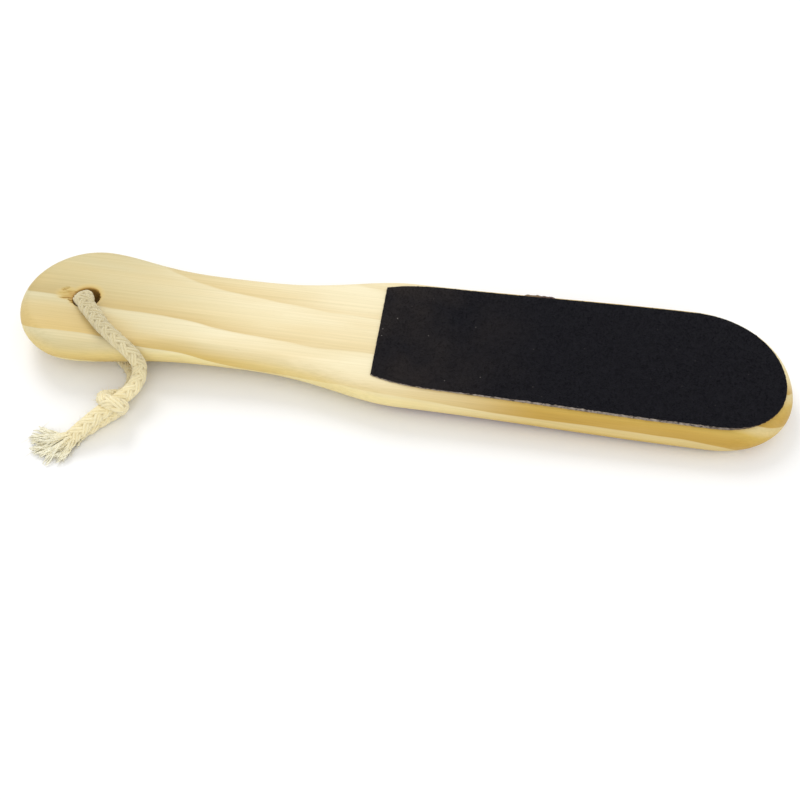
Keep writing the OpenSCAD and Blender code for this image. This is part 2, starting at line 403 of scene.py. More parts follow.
# Three growth lines on the handle's upper face: places along it and across it
NEAR_LINE = (
    (-126.8, -19), (-110.1, -17.6), (-96.7, -18.3), (-86.1, -21.4), (-70.9, -23.4),
    (-62, -26.5), (-47.5, -29.3), (-29.7, -29.8), (-12.1, -29.9),
)
MIDDLE_LINE = (
    (-130.2, -1.3), (-114.4, -2.2), (-101.6, -4.9), (-83.6, -5.4), (-72.2, -6.4),
    (-62, -8.4), (-49.3, -9.7), (-31.5, -11.6), (-7.6, -13.5),
)
FAR_LINE = (
    (-112, 31), (-95, 23), (-83.8, 16.8), (-73.2, 12.6),
    (-53.8, 8.6), (-35.2, 6.5), (-21.4, 4.9), (-7.9, 4),
)
LINES_LENGTH, LINES_REACH = 134, 40
# A band's usual width, and how far it moves across for each millimetre of depth
BAND_WIDTH, BAND_SLANT = 16.6, 1.6
# Colours through a band: how far through, then red, green and blue
PALE_BAND = (
    (0.0, 232, 216, 172), (0.012, 216, 188, 124), (0.1, 222, 197, 136), (0.3, 230, 210, 156),
    (0.62, 238, 223, 178), (0.97, 246, 237, 202), (1.0, 232, 216, 172),
)
GOLDEN_BAND = (
    (0.0, 214, 188, 126), (0.015, 192, 154, 66), (0.3, 196, 158, 64), (0.62, 208, 176, 86),
    (0.8, 222, 198, 134), (0.98, 218, 198, 142), (1.0, 214, 188, 126),
)
# Raw wood from a lightly bared rim to the hole's inside; the darkest stop, inside the hole, is
# darker end grain and painted shade
RAW_WOOD_AND_HOLE_SHADE = (
    (0.0, 226, 198, 128), (0.45, 213, 184, 106), (0.7, 182, 142, 66), (1.0, 152, 114, 50),
)


def streaks(wood, stretch, detail, roughness, seed):
    """Random patches that the stretch draws out along the grain."""
    inputs = {"Vector": wood, "Scale": stretch, "Location": (seed, seed, seed)}
    drawn_out = add(tree_of(wood), "ShaderNodeMapping", inputs)[0]
    return mottle(drawn_out, 1.0, detail, roughness)


def growth_line(x, places):
    """How far across the paddle a growth line lies, at each place along it."""
    along = fade(x, -LINES_LENGTH, 0.0)
    line = new_node(tree_of(x), "ShaderNodeFloatCurve", {"Value": along})
    curve = line.mapping.curves[0]
    spots = [
        ((at + LINES_LENGTH) / LINES_LENGTH, (across + LINES_REACH) / (2 * LINES_REACH))
        for at, across in places
    ]
    for spot in spots[1:-1]:
        curve.points.new(*spot)
    for end in (0, -1):
        curve.points[end].location = spots[end]
    line.mapping.update()
    return minus(times(line.outputs[0], 2 * LINES_REACH), LINES_REACH)


def way_between(level, line, next_line):
    """How far a level has come from one growth line to the next, from 0 to 1."""
    return calc("DIVIDE", minus(level, line), minus(next_line, line), clamp=True)


def growth_bands(wood):
    """Which growth band a place is in, as a number whose fraction is the way
    through the band, and how far the place is past the handle."""
    x, y, z = split(wood)
    wander = times(minus(streaks(wood, (0.012, 0.035, 0.05), 1, 0.4, 4.2), 0.5), 11)
    ripple = times(minus(streaks(wood, (0.05, 0.25, 0.25), 2, 0.5, 9.0), 0.5), 1.6)
    # on the head the bands lie side by side, a little askew
    across = plus(y, times(x, 0.1), times(z, BAND_SLANT), plus(wander, ripple))
    # the lowest band on the near edge keeps its width almost to the tip
    keeps, ends = fade(x, 38.0, 96.0, eased=True), fade(x, 124.0, 106.0, eased=True)
    across = minus(across, times(keeps, ends, 3.7))
    on_head = calc("DIVIDE", plus(across, 14.4), BAND_WIDTH)
    # on the handle they follow the three lines
    near, middle, far = [growth_line(x, line) for line in (NEAR_LINE, MIDDLE_LINE, FAR_LINE)]
    level = plus(y, ripple, times(minus(z, WOOD_THICKNESS), BAND_SLANT))
    on_handle = plus(way_between(level, near, middle), way_between(level, middle, far))
    past_far, short_of_near = minus(level, far), minus(level, near)
    beyond = plus(calc("MAXIMUM", past_far, 0), calc("MINIMUM", short_of_near, 0))
    on_handle = plus(on_handle, calc("DIVIDE", beyond, BAND_WIDTH))
    past_handle = fade(x, -30.0, -6.0, eased=True)
    band = plus(times(on_head, past_handle), times(on_handle, minus(1, past_handle)))
    return band, past_handle


def pale_pine():
    """Wide growth bands that start pale, deepen to honey and end at a crisp line."""
    finish, tree, skin = new_finish("pale_pine", Roughness=0.56, IOR=1.45)
    # millimetres along the paddle, across it and up through the wood
    level = {"Rotation": (0, -math.asin(REST_SIN), 0), "Location": (0, 0, -REST_SHIFT[2])}
    level.update({"Vector": object_place(tree), "Scale": (1000, 1000, 1000)})
    wood = add(tree, "ShaderNodeMapping", level)[0]
    x, y, z = split(wood)
    band, past_handle = growth_bands(wood)
    share, number = calc("FRACT", band), calc("FLOOR", band)
    # some bands are plainer than others
    plain = fade(one_each(number), 0.0, 1.0, 0.05, 0.45)
    colour = blend_colours(plain, ramp(share, PALE_BAND), srgb(235, 218, 172))
    # they turn golden towards the head
    toward_head = fade(x, -12.0, 50.0, eased=True)
    colour = blend_colours(toward_head, colour, ramp(share, GOLDEN_BAND))

    def glaze(amount, *tint, kind="MIX"):
        nonlocal colour
        colour = blend_colours(amount, colour, srgb(*tint), kind)

    # pale again over the far half of the tip
    at_tip, far_half = fade(x, 96.0, 118.0, eased=True), fade(y, -9.0, 1.0, eased=True)
    glaze(times(at_tip, far_half, 0.85), 243, 229, 182)
    # the band beyond the hole fades out towards the handle's end
    toward_end = fade(x, -45.0, -120.0, eased=True)
    glaze(times(fade(band, 1.3, 1.8), toward_end), 231, 214, 166)
    # the upper face is a little duller at the handle's end
    on_edge = fade(z, 9.3, 5.5, eased=True)
    glaze(times(toward_end, minus(1.0, on_edge)), 228, 229, 221, kind="MULTIPLY")
    # the band along the near side deepens to gold, all of it at the handle's end
    reach = fade(x, -85.0, -110.0, 0.6, 1.1, eased=True)
    in_band = times(calc("GREATER_THAN", band, 0), calc("LESS_THAN", band, 1))
    gold = calc("DIVIDE", minus(reach, band), reach, clamp=True)
    glaze(times(gold, in_band, minus(1, past_handle), 0.95), 217, 189, 120)
    # the wood is palest just before the sheets
    before_head = minus(1.0, toward_head)
    glaze(times(fade(x, -70.0, -12.0, eased=True), before_head, 0.55), 250, 239, 203)
    # broad honey-coloured clouds, long fibres and short dark pores
    clouds = fade(streaks(wood, (0.02, 0.09, 0.12), 2, 0.5, 17.0), 0.42, 0.72)
    glaze(times(clouds, 0.38), 220, 190, 118)
    fibres = fade(streaks(wood, (0.02, 1.9, 1.9), 4, 0.6, 2.0), 0.3, 0.7, 0.93, 1.05)
    parts = {0: fibres, 1: fibres, 2: calc("POWER", fibres, 1.5)}
    colour = blend_colours(1.0, colour, add(tree, "ShaderNodeCombineColor", parts)[0], "MULTIPLY")
    short = streaks(wood, (0.3, 4.5, 4.5), 2, 0.5, 31.0)
    glaze(times(fade(short, 0.66, 0.8), 0.3), 196, 156, 96)
    # painted warm shade: the rounded edges are a deeper yellow, least of all on the head
    yellow_tone_and_shade = times(on_edge, minus(1.0, times(toward_head, 0.7)))
    glaze(yellow_tone_and_shade, 255, 250, 220, kind="MULTIPLY")
    # raw wood where it is torn, and inside the hole, where its darkest colour is partly painted
    # shade
    bare = add(tree, "ShaderNodeAttribute", attribute_name="bare")["Fac"]
    shown = calc("MINIMUM", times(bare, 1.6), 1.0)
    feed(skin.inputs["Base Color"], blend_colours(shown, colour, ramp(bare, RAW_WOOD_AND_HOLE_SHADE)))
    silk = streaks(wood, (0.9, 0.9, 0.9), 3, 0.6, 5.0)
    feed(skin.inputs["Roughness"], fade(silk, 0.0, 1.0, 0.5, 0.64))
    grain = streaks(wood, (0.12, 5.0, 5.0), 3, 0.6, 12.0)
    roughen(skin, plus(times(grain, 0.6), times(short, 0.4)), 0.35, 0.12 * MM)
    return finish


paddle = build_paddle()
paddle.data.materials.append(pale_pine())
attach(paddle, "file")
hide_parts("wood_paddle")

# Abrasive sheets
# The head carries one sheet on each face, coarse black grit above and finer
# crimson grit below, each set in resin on grey backing and glued to the wood.
# They were cut by hand, so their edges are ragged and a line of backing shows.
SHEET_INSET, CUT_X = 3.6, -PADDLE_LENGTH / 2 + 126.0
CORNER_IN, CORNER_RUN = 2.2, 22.0
SHEET_POINTS = 760
# How high each layer reaches above the wood
GLUE_TOP, BACKING_TOP, BLACK_TOP, RED_TOP = 0.1, 0.4, 0.8, RED_SHEET
# The layers' edges are ragged each in its own way
GLUE, BACKING, GRIT = 1, 2, 5


def run_along(line):
    """How far along a line each of its points lies."""
    return np.concatenate([[0], np.cumsum(np.linalg.norm(np.diff(line, axis=0), axis=1))])


def points_at(line, at):
    """The places on a line that lie so far along it."""
    run = run_along(line)
    return np.stack([np.interp(at, run, line[:, k]) for k in range(line.shape[1])], axis=1)


def sheet_edge():
    """The sheet's outline, drawn in at the corners of the cut, and the way out of it."""
    edge = paddle_edge(SHEET_INSET, 60, 400)
    edge = edge[edge[:, 0] > CUT_X]
    first = int(np.argmax(np.abs(np.diff(edge[:, 1])))) + 1
    corner = half_width(CUT_X) - SHEET_INSET
    edge = np.vstack([[(CUT_X, -corner)], edge[first:], edge[:first], [(CUT_X, corner)]])
    near_cut = np.clip((edge[:, 0] - CUT_X) / CORNER_RUN, 0, 1)
    edge[:, 1] -= np.sign(edge[:, 1]) * CORNER_IN * (1 - np.sin(near_cut * np.pi / 2))
    edge = np.vstack([edge, edge[:1]])
    edge = points_at(edge, np.linspace(0, run_along(edge)[-1], SHEET_POINTS, endpoint=False))
    ahead = np.roll(edge, -1, axis=0) - np.roll(edge, 1, axis=0)
    ahead /= np.linalg.norm(ahead, axis=1, keepdims=True)
    return edge, np.stack([ahead[:, 1], -ahead[:, 0]], axis=1)


def slab(name, face_z, up, rings):
    """A thin solid on a face of the wood, from rings of points at growing heights."""
    bm = bmesh.new()
    levels = [np.insert(ring, 2, face_z + up * height, axis=1) for ring, height in rings]
    first, last = walled(bm, levels, inward=up < 0)
    fill_flat(bm, (first,), -up)
    fill_flat(bm, (last,), up)
    return finished_mesh(bm, name)


def any_vector(tree, lowest, highest, seed):
    """A random vector for each grain or corner."""
    inputs = {0: lowest, 1: highest, "Seed": seed}
    return add(tree, "FunctionNodeRandomValue", inputs, data_type="FLOAT_VECTOR")[0]


def strewn_grains(sheet, finish, up, grain, per_mm2, seed):
    """Strews angular grains over the flat of a sheet and joins them to its mesh."""
    tree = bpy.data.node_groups.new("strewn_grains", "GeometryNodeTree")
    wanted = {"Facing": float(up), "Grain": MM * grain, "Density": per_mm2 / MM ** 2, "Seed": seed}
    for way in ("INPUT", "OUTPUT"):
        tree.interface.new_socket("Sheet", in_out=way, socket_type="NodeSocketGeometry")
    named = {}
    for label in wanted:
        kind = "NodeSocketInt" if label == "Seed" else "NodeSocketFloat"
        made = tree.interface.new_socket(label, in_out="INPUT", socket_type=kind)
        named[label] = made.identifier
    given = add(tree, "NodeGroupInput")
    facing = times(split(add(tree, "GeometryNodeInputNormal")[0])[2], given["Facing"])
    flat = add(tree, "FunctionNodeCompare", {0: facing, 1: 0.97}, operation="GREATER_THAN")[0]
    spread = {"Mesh": given["Sheet"], "Selection": flat}
    spread.update({"Density": given["Density"], "Seed": given["Seed"]})
    spots = add(tree, "GeometryNodeDistributePointsOnFaces", spread)["Points"]
    turns = any_vector(tree, (0, 0, 0), (6.28, 6.28, 6.28), 1)
    turns = add(tree, "FunctionNodeEulerToRotation", {0: turns})[0]
    sizes = any_vector(tree, (0.45, 0.45, 0.45), (1.3, 1.0, 0.9), 2)
    size = add(tree, "ShaderNodeCombineXYZ", {k: given["Grain"] for k in range(3)})[0]
    crystal = add(tree, "GeometryNodeMeshCube", {"Size": size})["Mesh"]
    placed = {"Points": spots, "Instance": crystal, "Rotation": turns, "Scale": sizes}
    # each corner is moved a little, so that no grain is a plain block
    skew = {0: any_vector(tree, (-1, -1, -1), (1, 1, 1), 3), "Scale": times(given["Grain"], 0.16)}
    skew = add(tree, "ShaderNodeVectorMath", skew, operation="SCALE")[0]
    loose = add(tree, "GeometryNodeInstanceOnPoints", placed)[0]
    loose = add(tree, "GeometryNodeRealizeInstances", {0: loose})[0]
    for kind, more in (("SetPosition", {"Offset": skew}), ("SetMaterial", {"Material": finish})):
        loose = add(tree, "GeometryNode" + kind, {"Geometry": loose, **more})[0]
    joined = new_node(tree, "GeometryNodeJoinGeometry")
    for part in (loose, given["Sheet"]):
        feed(joined.inputs[0], part)
    new_node(tree, "NodeGroupOutput", {0: joined.outputs[0]})
    strew = sheet.modifiers.new("grains", "NODES")
    strew.node_group = tree
    for label, value in wanted.items():
        strew[named[label]] = value
    dressed = sheet.evaluated_get(bpy.context.evaluated_depsgraph_get())
    strewn = bpy.data.meshes.new_from_object(dressed)
    sheet.modifiers.clear()
    # the lowest grains stand on the table
    corners = np.empty(len(strewn.vertices) * 3, np.float32)
    strewn.vertices.foreach_get("co", corners)
    corners[2::3] = np.maximum(corners[2::3], 0)
    strewn.vertices.foreach_set("co", corners)
    sheet.data = strewn


def sheet_glue(name):
    """Yellowish resin glue that has soaked into the wood and stands in a thin bead."""
    finish, _, skin = new_finish(name, Roughness=0.34)
    feed(skin.inputs["Base Color"], srgb(196, 172, 112))
    return finish


def grey_backing(name):
    """Fibrous grey paper, darker where grit and dust cling to its cut edge."""
    finish, tree, skin = new_finish(name, Roughness=0.9, Specular_IOR_Level=0.2)
    place = object_place(tree)
    dust = mottle(place, 900.0, 3.0)
    colour = ramp(dust, ((0.34, 70, 63, 58), (0.46, 128, 117, 107), (0.7, 164, 153, 141)))
    # it is a darker brown round the tip
    at_tip = fade(split(place)[0], 0.1, 0.118)
    feed(skin.inputs["Base Color"], blend_colours(at_tip, colour, srgb(66, 52, 38)))
    roughen(skin, mottle(place, 6000.0, 2.0), 0.5, 0.08 * MM)
    return finish


def grit_finish(name, grain, deep, bright, worn, worn_up_to, speck, **sockets):
    """Grains of one colour in resin of the same colour, a little worn towards the
    cut, with a few pale specks of dust there."""
    finish, tree, skin = new_finish(name, **sockets)
    place = object_place(tree)
    fine = mottle(place, 1 / (MM * grain), 2.0)
    colour = ramp(fine, ((0.36, *deep), (0.62, *bright)))
    near_cut = fade(split(place)[0], worn_up_to, MM * CUT_X)
    wear = times(near_cut, fade(mottle(place, 60.0, 3.0), 0.3, 0.7))
    colour = blend_colours(times(wear, 0.8), colour, srgb(*worn))
    # one cell of dust in thirty has a speck in its middle
    dots = add(tree, "ShaderNodeTexVoronoi", {"Vector": place, "Scale": 700.0})
    lot = add(tree, "ShaderNodeSeparateColor", {0: dots["Color"]})[0]
    dot = times(calc("GREATER_THAN", lot, 0.965), calc("LESS_THAN", dots["Distance"], 0.13))
    dust_and_shade = times(dot, plus(times(near_cut, 0.5), 0.12))
    feed(skin.inputs["Base Color"], blend_colours(dust_and_shade, colour, srgb(*speck)))
    cells = {"Vector": place, "Scale": 1 / (MM * grain)}
    lumps = add(tree, "ShaderNodeTexVoronoi", cells, feature="SMOOTH_F1")["Distance"]
    roughen(skin, minus(times(fine, 0.8), lumps), 0.9, MM * grain)
    return finish


def build_sheet(colour, face_z, up, grit_top, grit, grain, per_mm2, seed):
    edge, outward = sheet_edge()
    # the near side was cut more roughly, and shows more backing than the far one
    near_side, far_side = np.clip(-outward[:, 1], 0, 1), np.clip(outward[:, 1], 0, 1)
    rougher = 0.4 + 0.6 * near_side

    def ragged(out, rough, layer):
        """The outline moved out by so much, and more or less by the roughness."""
        coarse = [uneven(x * 0.9, y * 0.9, seed + layer) for x, y in edge]
        fine = [uneven(x * 2.6, y * 2.6, seed - layer) for x, y in edge]
        wild = np.array(coarse) + 0.6 * np.array(fine)
        return edge + outward * (rougher * (out + rough * wild) - 0.3 * far_side)[:, None]

    glue = slab(colour + "_sheet_glue", face_z, up, (
        (edge - 1.2 * outward, -0.01), (ragged(0.05, 0.12, GLUE), -0.2),
        (ragged(0.1, 0.14, GLUE), 0.02), (ragged(0.0, 0.12, GLUE), GLUE_TOP),
    ))
    backing = slab(colour + "_sheet_backing", face_z, up, (
        (ragged(0.16, 0.16, BACKING), GLUE_TOP), (ragged(0.22, 0.2, BACKING), 0.24),
        (ragged(0.16, 0.18, BACKING), BACKING_TOP),
    ))
    # the grit has come off along the near edge, more so towards the head
    on_head = np.clip((edge[:, 0] - 15) / 35, 0, 1) * np.clip((118 - edge[:, 0]) / 14, 0, 1)
    off = 0.55 * on_head * near_side
    resin = grit_top - 0.5 * grain - BACKING_TOP
    coat = slab(colour + "_sheet_grit", face_z, up, (
        (ragged(-off, 0.26, GRIT), BACKING_TOP),
        (ragged(-off - 0.02, 0.26, GRIT), BACKING_TOP + 0.55 * resin),
        (ragged(-off - 0.1, 0.24, GRIT), BACKING_TOP + 0.88 * resin),
        (ragged(-off - 0.3, 0.2, GRIT), BACKING_TOP + resin),
    ))
    glue.data.materials.append(sheet_glue("glue_" + colour))
    backing.data.materials.append(grey_backing("backing_" + colour))
    coat.data.materials.append(grit)
    strewn_grains(coat, grit, up, grain, per_mm2, seed)
    for piece, slot in ((glue, "glue"), (backing, colour + "_backing"), (coat, colour + "_grit")):
        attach(piece, "file")
        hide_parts(colour + "_glue" if piece == glue else slot)


black_grit = grit_finish(
    "black_grains", grain=0.3, deep=(9, 9, 13), bright=(21, 20, 28), worn=(46, 40, 37),
    worn_up_to=0.05, speck=(170, 164, 158), Roughness=0.62, Specular_IOR_Level=0.1,
)
red_grit = grit_finish(
    "crimson_grains", grain=0.16, deep=(112, 8, 18), bright=(158, 20, 30), worn=(126, 22, 26),
    worn_up_to=0.03, speck=(214, 150, 144), Roughness=0.55, Specular_IOR_Level=0.35,
)
build_sheet("black", WOOD_THICKNESS, 1, BLACK_TOP, black_grit, grain=0.3, per_mm2=2.1, seed=3)
build_sheet("red", 0.0, -1, RED_TOP, red_grit, grain=0.18, per_mm2=2.3, seed=40)

# Squeezed resin
# A short run of brown resin glue that was pressed out beside the black sheet
# and set on the wood's rounded far edge, widest in its first half and darker
# where grit sank into it.
RESIN_FROM, RESIN_LENGTH = 41.8, 11.6
RESIN_RINGS, ROUND_RESIN = 64, 14


def squeezed_resin():
    rings = []
    # it starts so far round the edge, in radians from straight up
    first = math.radians(16)
    for i in range(RESIN_RINGS):
        along = i / (RESIN_RINGS - 1)
        x = RESIN_FROM + RESIN_LENGTH * along
        taper = min(1.0, math.sqrt(max(along * (1 - along), 0.0)) * 3.2)
        wild = uneven(x * 0.8, 3.1, 0) + 0.5 * uneven(x * 2.2, 7.7, 0)
        swell = 12 * math.exp(-((along - 0.35) / 0.3) ** 2)
        reach = first + math.radians(taper * (26 + swell + 4 * wild))
        rings.append([])
        for k in range(ROUND_RESIN):
            a = 2 * math.pi * k / ROUND_RESIN
            lean = (first + reach) / 2 - (reach - first) / 2 * math.cos(a)
            out = EDGE_RADIUS + 0.48 * taper * (1 + 0.35 * wild) * math.sin(a) - 0.03
            y = half_width(x) - EDGE_RADIUS + out * math.sin(lean)
            rings[-1].append(Vector((x, y, EDGE_RADIUS + out * math.cos(lean))))
    bm = bmesh.new()
    for end in walled(bm, rings):
        bm.faces.new(end)
    bmesh.ops.recalc_face_normals(bm, faces=bm.faces[:])
    return finished_mesh(bm, "squeezed_resin")


def brown_resin():
    finish, tree, skin = new_finish("brown_resin", Roughness=0.5, Specular_IOR_Level=0.3)
    place = object_place(tree)
    sunk = fade(split(place)[0], 0.044, 0.052)
    grain = times(minus(mottle(place, 1400.0, 2.0), 0.5), 2.2)
    sunk = calc("ADD", sunk, grain, clamp=True)
    feed(skin.inputs["Base Color"], blend_colours(sunk, srgb(126, 102, 66), srgb(70, 40, 44)))
    return finish


resin = squeezed_resin()
resin.data.materials.append(brown_resin())
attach(resin, "file")

# Cord
# One limp plaited cotton cord, 5 mm thick, of eight strands of three soft
# yarns each. It is threaded through the handle's hole, and its lower end is
# hitched once round its upper one beside the handle, which closes the loop.
# Places along the middle of the cord: x and y from the hole, z from the table
OVER_ROUTE = (
    (-0.9, -0.8, 10.8), (-0.9, -0.8, 13.4), (-0.8, -1.2, 15.7), (0.5, -1.9, 17.5),
    (1.8, -3.7, 18.2), (3.4, -6.1, 18.2), (6.8, -9.6, 18.2), (12.4, -15.2, 18.1),
    (18, -19.6, 17.9), (22, -21.9, 16.3), (24.9, -23.2, 13.4), (26.2, -24.4, 10.6),
    (26.4, -26.5, 8.7), (26, -29.4, 7.6), (24.5, -33.1, 7), (22.7, -35.8, 6.8),
    (20.4, -39.2, 6.6), (17.9, -43.1, 6.6), (15.2, -46.2, 5.5), (12.9, -48.6, 4.2),
    (11.2, -50.2, 3.1),
)
UNDER_ROUTE = (
    (-0.9, -0.8, 10.8), (-0.9, -0.8, 7.3), (-0.6, -1.1, 5.4), (0.2, -1.9, 3.7),
    (1.5, -3.1, 2.8), (3.2, -4.6, 2.5), (9.6, -10.2, 2.5), (15.6, -15.4, 2.5),
    (19.9, -19.4, 2.5), (22, -23.2, 2.5), (22.4, -27.2, 2.5), (21.2, -30.6, 2.7),
    (18.9, -32.5, 3.6), (17.6, -34.5, 5.4), (18, -37.1, 7.8), (20.2, -39.5, 9.6),
    (22.6, -40.4, 10), (24, -39.9, 8.8), (24.1, -38.6, 6.6), (22.8, -37.9, 4.1),
    (20.7, -38.4, 2.8), (18.8, -40.3, 2.5), (16.7, -42.7, 2.5), (14.9, -45, 2.4),
    (13.4, -46.8, 2.3),
)
LINE_STEP = 0.4
PLAIT_PITCH = 16.4
STRAND_RADIUS, STRAND_WEAVE, YARN_RADIUS, YARN_STEP = 1.68, 0.3, 0.5, 0.76
CORE_RADIUS = 1.3
# How much wider than round the upper strand is pressed, at places along it:
# most over the rim of the hole, then less and less where it lies on the wood
PRESSED_AT, PRESSED_BY = (0, 4, 7, 9, 12, 21, 27), (1.0, 1.15, 1.5, 1.42, 1.27, 1.17, 1.05)


def smooth_line(route):
    """A smooth curve through a route's places, as points a step apart, in
    millimetres from the middle of the paddle."""
    p = np.array(route, float) + (HOLE_X, HOLE_Y, 0)
    p = np.vstack([2 * p[0] - p[1], p, 2 * p[-1] - p[-2]])
    fine = []
    for a, b, c, d in zip(p, p[1:], p[2:], p[3:]):
        spans = [np.linalg.norm(v - u) ** 0.5 for u, v in ((a, b), (b, c), (c, d))]
        t0, t1, t2, t3 = np.cumsum([0] + spans)
        for t in np.linspace(t1, t2, 24, endpoint=False):
            ab = a + (b - a) * (t - t0) / (t1 - t0)
            bc = b + (c - b) * (t - t1) / (t2 - t1)
            cd = c + (d - c) * (t - t2) / (t3 - t2)
            abc = ab + (bc - ab) * (t - t0) / (t2 - t0)
            bcd = bc + (cd - bc) * (t - t1) / (t3 - t1)
            fine.append(abc + (bcd - abc) * (t - t1) / (t2 - t1))
    fine = np.array(fine + [p[-2]])
    length = run_along(fine)[-1]
    return points_at(fine, np.linspace(0, length, int(round(length / LINE_STEP)) + 1))


def directions(line):
    d = np.gradient(line, axis=0)
    return d / np.linalg.norm(d, axis=1, keepdims=True)


def carried_sides(along, first):
    """A side direction at each point of a line, carried along it without twisting."""
    sides = []
    side = np.array(first, float)
    for t in along:
        side = side - t * (side @ t)
        side /= np.linalg.norm(side)
        sides.append(side)
    return np.array(sides)


def plaited_yarns(line, on_wood):
    """The 24 yarns: the middle line, the direction out of the cord, the radius,
    and how far the yarn dives under the others, at each point."""
    along = directions(line)
    side = carried_sides(along, (1, -1, 0))
    up = np.cross(along, side)
    run = run_along(line)
    pressed = np.interp(run, PRESSED_AT, PRESSED_BY) if on_wood else np.ones(len(run))
    crossings = 8 * run / PLAIT_PITCH
    yarns = []
    # four strands go round each way, over two and under two of the others
    for hand in (1, -1):
        for strand in range(4):
            turn = hand * 2 * np.pi * run / PLAIT_PITCH + strand * np.pi / 2 + 0.58
            beat = crossings + 2 * strand if hand > 0 else 2 * strand - crossings
            over = hand * np.tanh(1.8 * np.cos(np.pi / 2 * (beat - 0.5))) / np.tanh(1.8)
            # how far each strand dives under the others, which the cotton darkens as painted shade
            under = np.clip((0.35 - over) / 1.35, 0, 1)
            for yarn in (-1, 0, 1):
                radius = STRAND_RADIUS + STRAND_WEAVE * over - 0.1 * abs(yarn)
                angle = turn + yarn * YARN_STEP / STRAND_RADIUS / math.cos(0.6)
                wide, high = np.cos(angle) / np.sqrt(pressed), np.sin(angle) * pressed
                out = side * wide[:, None] + up * high[:, None]
                loose = [uneven(r * 0.4, strand * 7 + yarn * 3, hand * 5) for r in run]
                middle = line + out * (radius + 0.09 * np.array(loose))[:, None]
                yarns.append((middle, out, YARN_RADIUS * pressed ** 0.6, under))
    return yarns


def yarn_mesh(name, yarns, sides, finish):
    """One mesh of many round yarns. Each yarn is its middle line, the direction
    out of the cord, its radius, and how far it dives under the others, at each point;
    its UV map runs along it and round it."""
    points, faces, uvs, dives = [], [], [], []
    start = 0
    a = 2 * np.pi * np.arange(sides) / sides
    for which, (line, out, radius, under) in enumerate(yarns):
        n = len(line)
        along = directions(line)
        up = out - along * (out * along).sum(1, keepdims=True)
        up /= np.linalg.norm(up, axis=1, keepdims=True)
        across = np.cross(along, up)
        spokes = up[:, None] * np.sin(a)[:, None] + across[:, None] * np.cos(a)[:, None]
        ring = line[:, None] + np.broadcast_to(radius, n)[:, None, None] * spokes
        points.append(ring.reshape(-1, 3))
        dives.append(np.repeat(np.broadcast_to(under, n), sides))
        run = run_along(line)
        for i in range(n - 1):
            first = start + i * sides
            faces += ring_faces(first, first + sides, sides)
            for k in range(sides):
                low, high = which + k / sides * 0.98, which + (k + 1) / sides * 0.98
                uvs += [(run[i], low), (run[i], high), (run[i + 1], high), (run[i + 1], low)]
        faces.append(range(start, start + sides)[::-1])
        start += n * sides
        faces.append(range(start - sides, start))
        uvs += [(0, which)] * sides + [(run[-1], which)] * sides
    points = MM * np.vstack(points)
    points[:, 2] = np.maximum(points[:, 2], 0)
    mesh = bpy.data.meshes.new(name)
    mesh.from_pydata(points.tolist(), [], faces)
    mesh.polygons.foreach_set("use_smooth", [True] * len(mesh.polygons))
    layer = mesh.uv_layers.new(name="yarn")
    layer.data.foreach_set("uv", np.array(uvs, np.float32).ravel())
    dived = mesh.attributes.new("under", "FLOAT", "POINT")
    dived.data.foreach_set("value", np.concatenate(dives).astype(np.float32))
    piece = put_in_scene(name, mesh)
    piece.data.materials.append(finish)
    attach(piece, "loop")
    return piece


def cotton(name, colour, painted_light_tip=None):
    """Soft off-white yarn: its twist shows as slanting ridges, and its nap catches light.
    An opened yarn grows paler towards its tip: painted light, standing for the bright light on a
    frayed fan and making up for the shade between its plies."""
    finish, tree, skin = new_finish(
        name, Roughness=0.92, Sheen_Weight=0.6, Sheen_Roughness=0.5, Specular_IOR_Level=0.15,
        Sheen_Tint=(1.0, 0.97, 0.9, 1),
    )
    u, v, _ = split(add(tree, "ShaderNodeUVMap", uv_map="yarn")[0])
    place = object_place(tree)
    # some yarns and patches are yellower than others
    tone = plus(times(one_each(calc("FLOOR", v)), 0.5), times(mottle(place, 260.0, 3.0), 0.6))
    yellow_tone_and_shade = tuple(c * k for c, k in zip(colour, (0.96, 0.93, 0.85, 1)))
    clean = blend_colours(tone, colour, yellow_tone_and_shade)
    # painted light: an opened yarn is painted paler towards its tip
    if painted_light_tip:
        clean = blend_colours(fade(u, 0.5, 7.0), clean, painted_light_tip)
    # greyer on the part of the cord that lies over the wood
    greyer_over_wood = fade(split(place)[1], -0.034, -0.018)
    worn = blend_colours(greyer_over_wood, clean, srgb(217, 215, 210), "MULTIPLY")
    # painted shade: darker where the strands dive under each other
    under = add(tree, "ShaderNodeAttribute", attribute_name="under")["Fac"]
    dust_and_shade = blend_colours(times(under, 0.75), worn, srgb(176, 158, 116), "MULTIPLY")
    feed(skin.inputs["Base Color"], dust_and_shade)
    ply = calc("SINE", plus(times(u, 5.2), times(v, 18.85)))
    roughen(skin, plus(times(ply, 0.35), mottle(place, 5200.0, 2.0)), 0.7, 0.12 * MM)
    return finish


def plaited_cord(name, route, on_wood):
    """A strand of the cord, its middle line and its yarns."""
    line = smooth_line(route)
    yarns = plaited_yarns(line, on_wood)
    # the yarns' insides, packed in the middle of the cord, which dive under all the rest and so
    # take the full painted shade
    core = (line, carried_sides(directions(line), (1, -1, 0)), CORE_RADIUS, 1.0)
    return yarn_mesh(name, yarns + [core], 6, cotton_yarn), line, yarns


cotton_yarn = cotton("cotton_yarn", srgb(255, 244, 204))
upper_strand, upper_line, upper_yarns = plaited_cord("upper_strand", OVER_ROUTE, True)
lower_strand, lower_line, lower_yarns = plaited_cord("lower_strand", UNDER_ROUTE, False)
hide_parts("cord_over_handle")
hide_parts("cord_under_handle", "cord_knot")

